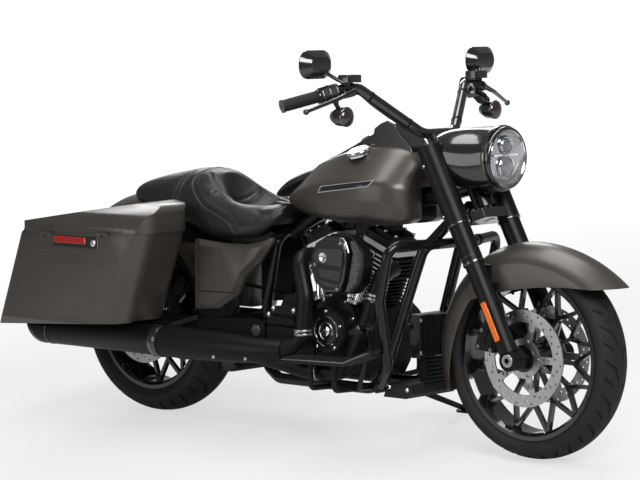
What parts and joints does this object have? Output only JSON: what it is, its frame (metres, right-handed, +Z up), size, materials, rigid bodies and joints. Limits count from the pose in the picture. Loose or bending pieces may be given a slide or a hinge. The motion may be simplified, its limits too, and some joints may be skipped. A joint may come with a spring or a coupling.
{
  "type": "touring cruiser motorcycle",
  "caption": "Two-seat touring cruiser motorcycle with hard saddlebags, headlamp nacelle and V-twin engine, parked leaning on its side stand.",
  "frame": {"origin": "on the ground, under the middle of the parked motorcycle's bounding box", "axes": "+X forward along the wheels, +Y to the rider's left, +Z up; the motorcycle leans 8 degrees to the left on its stand"},
  "size_m": [2.419, 0.9954, 1.3053],
  "materials": {
    "tyre": "dull",
    "paint": "satin metallic",
    "gloss_black": "gloss",
    "satin_black": "satin",
    "frame_black": "gloss",
    "chrome": "polished",
    "steel": "brushed",
    "cast_black": "satin black",
    "leather": "satin",
    "lens": "clear",
    "red_lens": "gloss",
    "black_plastic": "matte",
    "rubber": "matte",
    "dark_lens": "gloss"
  },
  "bodies": {
    "chassis": {"rear_axle": "steel", "frame": "frame_black", "swing_arm": "satin_black", "pivot_shaft": "steel", "shocks": "satin_black", "crankcase": "cast_black", "cylinders": "cast_black", "rocker_covers": "cast_black", "cam_cover": "cast_black", "pushrod_tubes": "chrome", "gearbox": "cast_black", "primary_cover": "cast_black", "air_cleaner": "gloss_black", "drive_belt": "rubber", "header_pipes": "satin_black", "mufflers": "satin_black", "fuel_tank": "paint", "console": "gloss_black", "fuel_caps": "chrome", "seat": "leather", "rear_fender": "paint", "saddlebag_right": "paint", "saddlebag_left": "paint", "side_covers": "paint", "bag_rails": "frame_black", "engine_guard": "frame_black", "oil_cooler": "cast_black", "chin_cover": "black_plastic", "footboards": "rubber", "brake_pedal": "frame_black", "shift_lever": "frame_black", "tail_lamp": "red_lens", "rear_signals": "dark_lens", "plate_holder": "black_plastic", "rear_caliper": "cast_black"},
    "steering": {"triple_clamps": "cast_black", "fork_sliders": "satin_black", "fork_covers": "satin_black", "front_axle": "steel", "nacelle": "gloss_black", "headlamp": "lens", "handlebar": "frame_black", "grips": "rubber", "switches": "black_plastic", "levers": "cast_black", "mirrors": "gloss_black", "front_signals": "dark_lens", "front_fender": "paint", "front_calipers": "cast_black"},
    "front_wheel": {"front_tyre": "tyre", "front_rim": "gloss_black", "front_discs": "steel"},
    "rear_wheel": {"rear_tyre": "tyre", "rear_rim": "gloss_black", "rear_disc": "steel", "rear_pulley": "cast_black"},
    "side_stand": {"side_stand": "frame_black"},
    "lid_right": {"lid_right": "paint"},
    "lid_left": {"lid_left": "paint"}
  },
  "joints": [
    {"name": "steering", "type": "hinge", "parent": "chassis", "child": "steering", "pos_m": [0.64115, -0.0329, 0.82687], "axis": [-0.4384, 0.1251, 0.89], "range_deg": [-30, 30]},
    {"name": "front_wheel_spin", "type": "hinge", "parent": "steering", "child": "front_wheel", "pos_m": [0.87841, -0.10499, 0.31391], "axis": [0, 0.9903, -0.1392], "continuous": true},
    {"name": "rear_wheel_spin", "type": "hinge", "parent": "chassis", "child": "rear_wheel", "pos_m": [-0.74659, -0.10401, 0.32085], "axis": [0, 0.9903, -0.1392], "continuous": true},
    {"name": "side_stand_fold", "type": "hinge", "parent": "chassis", "child": "side_stand", "pos_m": [0.24941, 0.01833, 0.12794], "axis": [0.0404, 0.5269, 0.849], "range_deg": [0, 97.1]},
    {"name": "lid_right_open", "type": "hinge", "parent": "chassis", "child": "lid_right", "pos_m": [-0.74659, -0.4651, 0.6904], "axis": [0.9994, 0.0048, 0.034], "range_deg": [0, 80]},
    {"name": "lid_left_open", "type": "hinge", "parent": "chassis", "child": "lid_left", "pos_m": [-0.74659, 0.34494, 0.57655], "axis": [-0.9994, -0.0048, -0.034], "range_deg": [0, 80]}
  ]
}
